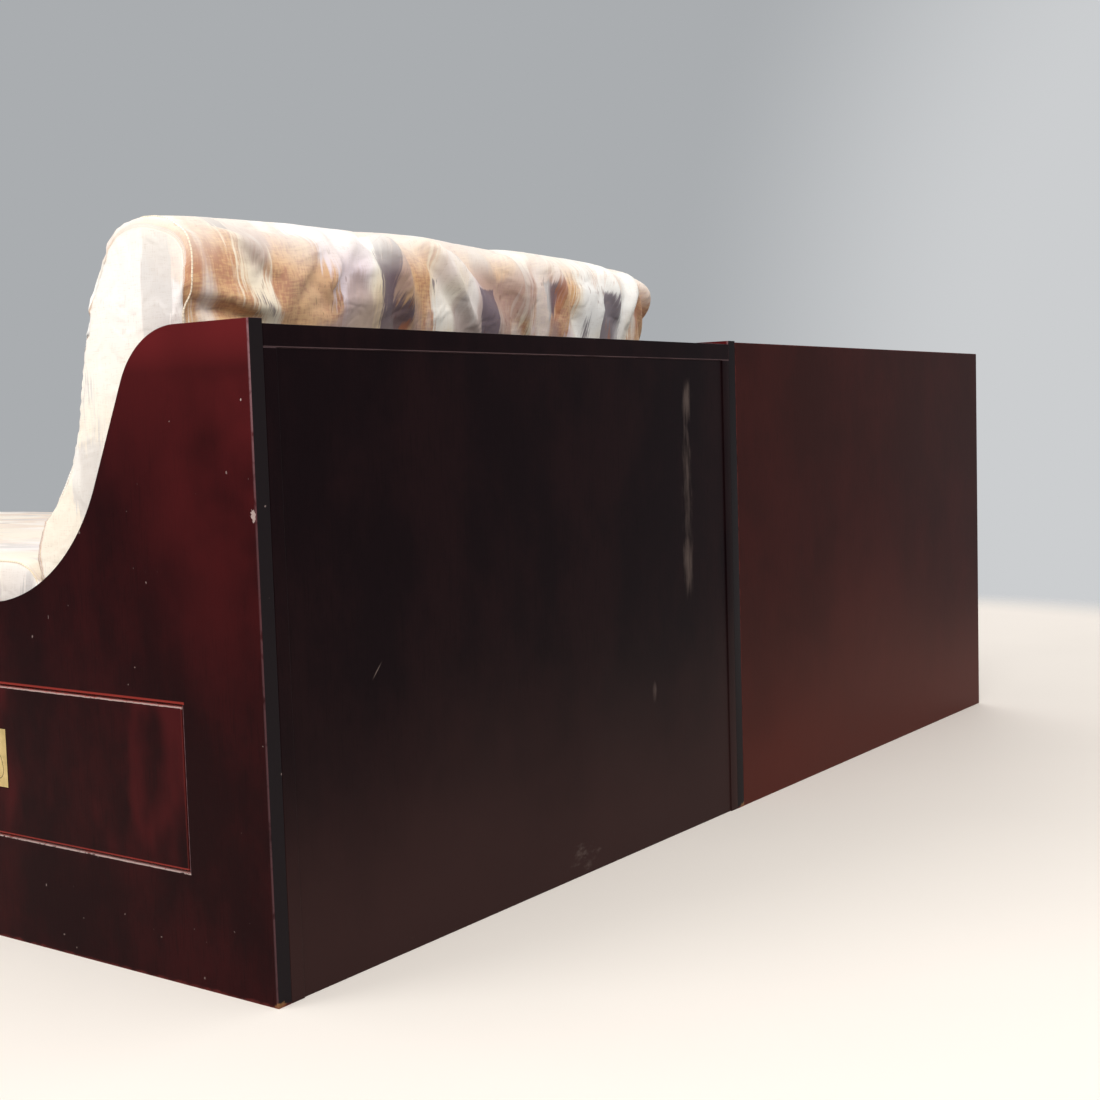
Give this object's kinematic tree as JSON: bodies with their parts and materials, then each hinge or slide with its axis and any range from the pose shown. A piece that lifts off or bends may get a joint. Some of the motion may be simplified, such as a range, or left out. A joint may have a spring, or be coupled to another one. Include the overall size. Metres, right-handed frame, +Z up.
{
  "type": "single bed with storage drawers and bedside chest",
  "caption": "Boxed single bed with S-curved side panels, drawers under one side, a mattress and back cushion, and a chest in line with the headboard.",
  "frame": {"origin": "centre of the footprint of the bed and its chest, on the floor", "axes": "+X across the bed from the drawer side towards the chest, +Y from the headboard to the foot, +Z up"},
  "size_m": [2.099, 2.135, 0.8891],
  "materials": {
    "side_wood": "red-brown mahogany stain under a satin lacquer, worn at the edges",
    "back_wood": "near-black brown stain under a satin lacquer, scuffed",
    "chest_wood": "dark red-brown mahogany stain under a satin lacquer",
    "inner_wood": "plain sealed inner boards",
    "slat_wood": "plain planed slats",
    "brass": "brushed brass, dulled",
    "steel": "zinc-plated bolts",
    "mattress_fabric": "cream cotton with soft streaks of lilac and ochre",
    "cushion_fabric": "slubbed cream cotton with loose streaks of ochre, rust, slate purple and lilac"
  },
  "bodies": {
    "bed_and_chest": {"near_side_panel": "side_wood", "far_side_panel": "side_wood", "headboard_cap": "back_wood", "headboard_inner_panel": "side_wood", "headboard_stile_near": "back_wood", "headboard_stile_far": "back_wood", "headboard_back_panel": "back_wood", "foot_panel": "side_wood", "ledger_near": "inner_wood", "ledger_far": "inner_wood", "middle_cross_board": "inner_wood", "slat_01": "slat_wood", "slat_02": "slat_wood", "slat_03": "slat_wood", "slat_04": "slat_wood", "slat_05": "slat_wood", "slat_06": "slat_wood", "slat_07": "slat_wood", "slat_08": "slat_wood", "slat_09": "slat_wood", "slat_10": "slat_wood", "slat_11": "slat_wood", "drawer_1_guide_head": "inner_wood", "drawer_1_guide_foot": "inner_wood", "drawer_2_guide_head": "inner_wood", "drawer_2_guide_foot": "inner_wood", "chest_back_panel": "chest_wood", "chest_top": "chest_wood", "chest_side_near": "chest_wood", "chest_side_far": "chest_wood", "chest_plinth": "chest_wood", "chest_floor": "chest_wood", "chest_shelf": "chest_wood", "bolt_1": "steel", "bolt_2": "steel", "mattress": "mattress_fabric", "back_cushion": "cushion_fabric"},
    "drawer_1": {"drawer_1_front": "side_wood", "drawer_1_box": "inner_wood", "drawer_1_base": "inner_wood", "drawer_1_plate": "brass"},
    "drawer_2": {"drawer_2_front": "side_wood", "drawer_2_box": "inner_wood", "drawer_2_base": "inner_wood", "drawer_2_plate": "brass"},
    "chest_drawer_1": {"chest_drawer_1_front": "chest_wood", "chest_drawer_1_box": "inner_wood", "chest_drawer_1_base": "inner_wood", "chest_drawer_1_plate": "brass"},
    "chest_drawer_2": {"chest_drawer_2_front": "chest_wood", "chest_drawer_2_box": "inner_wood", "chest_drawer_2_base": "inner_wood", "chest_drawer_2_plate": "brass"},
    "flap_1": {"drawer_1_flap": "brass"},
    "flap_2": {"drawer_2_flap": "brass"},
    "chest_flap_1": {"chest_drawer_1_flap": "brass"},
    "chest_flap_2": {"chest_drawer_2_flap": "brass"}
  },
  "joints": [
    {"name": "drawer_1_slide", "type": "slide", "parent": "bed_and_chest", "child": "drawer_1", "axis": [-1, 0, 0], "range_m": [0, 0.45]},
    {"name": "drawer_2_slide", "type": "slide", "parent": "bed_and_chest", "child": "drawer_2", "axis": [-1, 0, 0], "range_m": [0, 0.45]},
    {"name": "chest_drawer_1_slide", "type": "slide", "parent": "bed_and_chest", "child": "chest_drawer_1", "axis": [0, 1, 0], "range_m": [0, 0.33]},
    {"name": "chest_drawer_2_slide", "type": "slide", "parent": "bed_and_chest", "child": "chest_drawer_2", "axis": [0, 1, 0], "range_m": [0, 0.33]},
    {"name": "flap_1_hinge", "type": "hinge", "parent": "drawer_1", "child": "flap_1", "pos_m": [-1.04745, -0.543, 0.2455], "axis": [0, 1, 0], "range_deg": [0, 30]},
    {"name": "flap_2_hinge", "type": "hinge", "parent": "drawer_2", "child": "flap_2", "pos_m": [-1.04745, 0.543, 0.2455], "axis": [0, 1, 0], "range_deg": [0, 30]},
    {"name": "chest_flap_1_hinge", "type": "hinge", "parent": "chest_drawer_1", "child": "chest_flap_1", "pos_m": [0.52545, -0.5689, 0.25265], "axis": [1, 0, 0], "range_deg": [0, 30]},
    {"name": "chest_flap_2_hinge", "type": "hinge", "parent": "chest_drawer_2", "child": "chest_flap_2", "pos_m": [0.52545, -0.5689, 0.58635], "axis": [1, 0, 0], "range_deg": [0, 30]}
  ]
}
